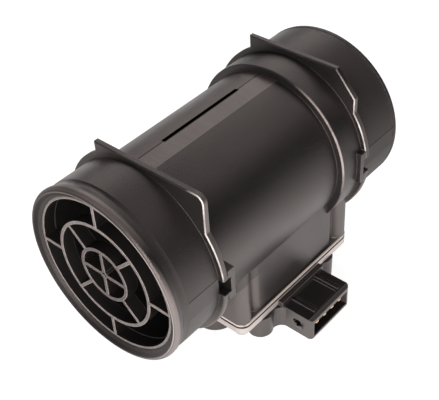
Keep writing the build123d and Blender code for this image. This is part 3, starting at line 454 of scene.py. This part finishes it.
# ---------------------------------------------------------------- materials by slot
FINISH = {
    "tube_plastic": moulded(
        "tube plastic", (0.0066, 0.0066, 0.0066), EDGE_HIGHLIGHT, 0.40,
        grain=0.1 * MM, edge_radius=0.5 * MM, dress=dress_tube,
    ),
    "grid_plastic": moulded("grid plastic", (0.006, 0.0055, 0.0055), EDGE_HIGHLIGHT, 0.45, dress=dress_grid),
    "housing_plastic": moulded(
        "housing plastic", (0.005, 0.005, 0.005), (0.20, 0.19, 0.185), 0.33,
        grain=0.01 * MM, dress=dress_housing,
    ),
    "carrier_plastic": moulded(
        "carrier plastic", (0.03, 0.03, 0.03), (0.1, 0.1, 0.1), 0.5, sheen=0.5
    ),
    "component_body": moulded(
        "component body", (0.025, 0.025, 0.026), (0.08, 0.08, 0.08), 0.55, edge_radius=0.1 * MM, sheen=0.4
    ),
    "seal_rubber": moulded("seal rubber", (0.014, 0.010, 0.009), (0.04, 0.03, 0.028), 0.65, sheen=0.3),
    "cast_alloy": metal(
        "cast alloy", (0.76, 0.68, 0.65), 0.48, stretch=(1, 1, 9), metallic=0.55, dress=dress_plate
    ),
    "steel": metal("zinc plated steel", (0.62, 0.62, 0.60), 0.3),
    "insert_brass": metal("insert brass", (0.74, 0.56, 0.30), 0.3),
    "terminal_brass": metal(
        "terminal brass", (0.86, 0.56, 0.33), 0.22, stretch=(9, 1, 1), scratch=0.004 * MM
    ),
    "element_glass": glassy("coated glass", (0.55, 0.6, 0.6)),
    "board_laminate": laminate("board laminate", (0.03, 0.14, 0.07), (0.10, 0.2, 0.10)),
}
for part in frame["record"]["subparts"]:
    shown = nodes[part["node"]]
    shown.data.materials.clear()
    shown.data.materials.append(FINISH[part["material_slot"]])

# ---------------------------------------------------------------- floor and light
MIDDLE = Vector((0.0, 0.067, -0.01))        # what the lamps point at
FLOOR_CENTRE = (0, 0.07, cad_box[0].z)
FLOOR_RADIUS = 3.0
PAPER = ((0.84, 0.84, 0.83), (0.86, 0.86, 0.85))
PAPER_SEEN = (0.42, 0.42, 0.42)             # with the glow it reads white, and keeps the shadow
GLOW_SEEN = 0.84
GLOW_REFLECTED = (0.05, 1.0)                # what glossy faces see of it, by place
FILL_GLOSSY, FILL_DIFFUSE = 0.02, 0.30      # the world's light on the object
WHITE = (1.0, 1.0, 1.0, 1.0)
WARM = (1.0, 0.97, 0.955)
# name, azimuth from +X and elevation in degrees, size in metres, power in watts
LAMPS = (
    ("back_left", 132, 35, (0.85, 0.6), 2.3),
    ("back", 68, 53, (0.9, 0.55), 1.4),
    ("front_right", 300, 16, (0.5, 0.5), 8.0),
    ("overhead", 315, 70, (0.5, 0.5), 0.5),
)


def seen_by_camera(g):
    """1 for what the camera sees, straight or through something clear, and the other kinds of ray."""
    path = g.node("ShaderNodeLightPath").outputs
    return g.math("MAXIMUM", path["Is Camera Ray"], path["Is Transmission Ray"]), path


def floor():
    """A pale disc that looks white, keeps the shadow, and is a bright table to the glossy faces."""
    mesh = bpy.data.meshes.new("floor")
    made = bmesh.new()
    bmesh.ops.create_circle(made, cap_ends=True, segments=64, radius=FLOOR_RADIUS)
    bmesh.ops.translate(made, vec=FLOOR_CENTRE, verts=made.verts)
    made.to_mesh(mesh)
    made.free()
    plane = bpy.data.objects.new("floor", mesh)
    bpy.context.scene.collection.objects.link(plane)
    g = Graph(bpy.data.materials.new("floor"))
    g.shader.inputs["Roughness"].default_value = 0.9
    g.shader.inputs["Specular IOR Level"].default_value = 0.1
    g.shader.inputs["Emission Color"].default_value = WHITE
    paper = g.mix(g.span(g.noise(30.0, 2.0), 0.3, 0.7), *PAPER)
    seen, path = seen_by_camera(g)
    g.link(g.mix(path["Is Camera Ray"], paper, PAPER_SEEN), g.shader.inputs["Base Color"])
    x, y, _ = g.place()
    right = g.all_of(g.span(x, -0.01, 0.06), g.span(y, 0.09, 0.20, 1.0, 0.1))
    back_left = g.all_of(g.span(x, -0.05, -0.3, 0.0, 0.65), g.span(y, 0.05, 0.2))
    reflected = g.span(g.either(right, back_left), 0.0, 1.0, *GLOW_REFLECTED)
    glow = g.math("ADD", g.math("MULTIPLY", seen, GLOW_SEEN), g.all_of(path["Is Glossy Ray"], reflected))
    g.link(glow, g.shader.inputs["Emission Strength"])
    mesh.materials.append(g.owner)


def world():
    """White to the camera, and a weak fill to the object."""
    made = bpy.data.worlds.new("studio")
    bpy.context.scene.world = made
    g = Graph(made, "Background")
    seen, path = seen_by_camera(g)
    fill = g.span(path["Is Diffuse Ray"], 0.0, 1.0, FILL_GLOSSY, FILL_DIFFUSE)
    g.shader.inputs["Color"].default_value = WHITE
    g.link(g.math("MAXIMUM", seen, fill), g.shader.inputs["Strength"])


def softbox(name, azimuth, elevation, size, power):
    """A lamp a metre from the middle of the object."""
    azimuth, elevation = radians(azimuth), radians(elevation)
    away = Vector((cos(elevation) * cos(azimuth), cos(elevation) * sin(azimuth), sin(elevation)))
    lamp = bpy.data.lights.new(name, "AREA")
    lamp.shape = "RECTANGLE"
    lamp.size, lamp.size_y = size
    lamp.energy = power
    lamp.color = WARM
    holder = bpy.data.objects.new(name, lamp)
    bpy.context.scene.collection.objects.link(holder)
    holder.location = MIDDLE + away
    holder.rotation_mode = "QUATERNION"
    holder.rotation_quaternion = (-away).to_track_quat("-Z", "Y")


floor()
world()
for lamp in LAMPS:
    softbox(*lamp)

# ---------------------------------------------------------------- camera, as fitted to the photograph
CAMERA_AT = (0.18688, -0.13370, 0.22473)
CAMERA_AZIMUTH, CAMERA_ELEVATION, CAMERA_ROLL = radians(43.426), radians(40.49), radians(-4.006)
FOCAL_PX, PHOTO_WIDTH_PX, SENSOR_WIDTH = 903.68, 439.0, 36.0


def camera():
    azimuth, elevation, roll = CAMERA_AZIMUTH, CAMERA_ELEVATION, CAMERA_ROLL
    forward = Vector((-sin(azimuth) * cos(elevation), cos(azimuth) * cos(elevation), -sin(elevation)))
    right = Vector((cos(azimuth), sin(azimuth), 0.0))
    up = right.cross(forward)
    x_axis = cos(roll) * right + sin(roll) * up
    y_axis = -sin(roll) * right + cos(roll) * up
    data = bpy.data.cameras.new("camera")
    data.sensor_fit = "HORIZONTAL"
    data.sensor_width = SENSOR_WIDTH
    data.lens = SENSOR_WIDTH * FOCAL_PX / PHOTO_WIDTH_PX
    data.clip_start = 0.01
    data.clip_end = 20.0
    made = bpy.data.objects.new("camera", data)
    bpy.context.scene.collection.objects.link(made)
    turn = Matrix((x_axis, y_axis, -forward)).transposed()
    made.matrix_world = Matrix.Translation(CAMERA_AT) @ turn.to_4x4()
    bpy.context.scene.camera = made


camera()
bpy.context.scene.view_settings.view_transform = "Standard"
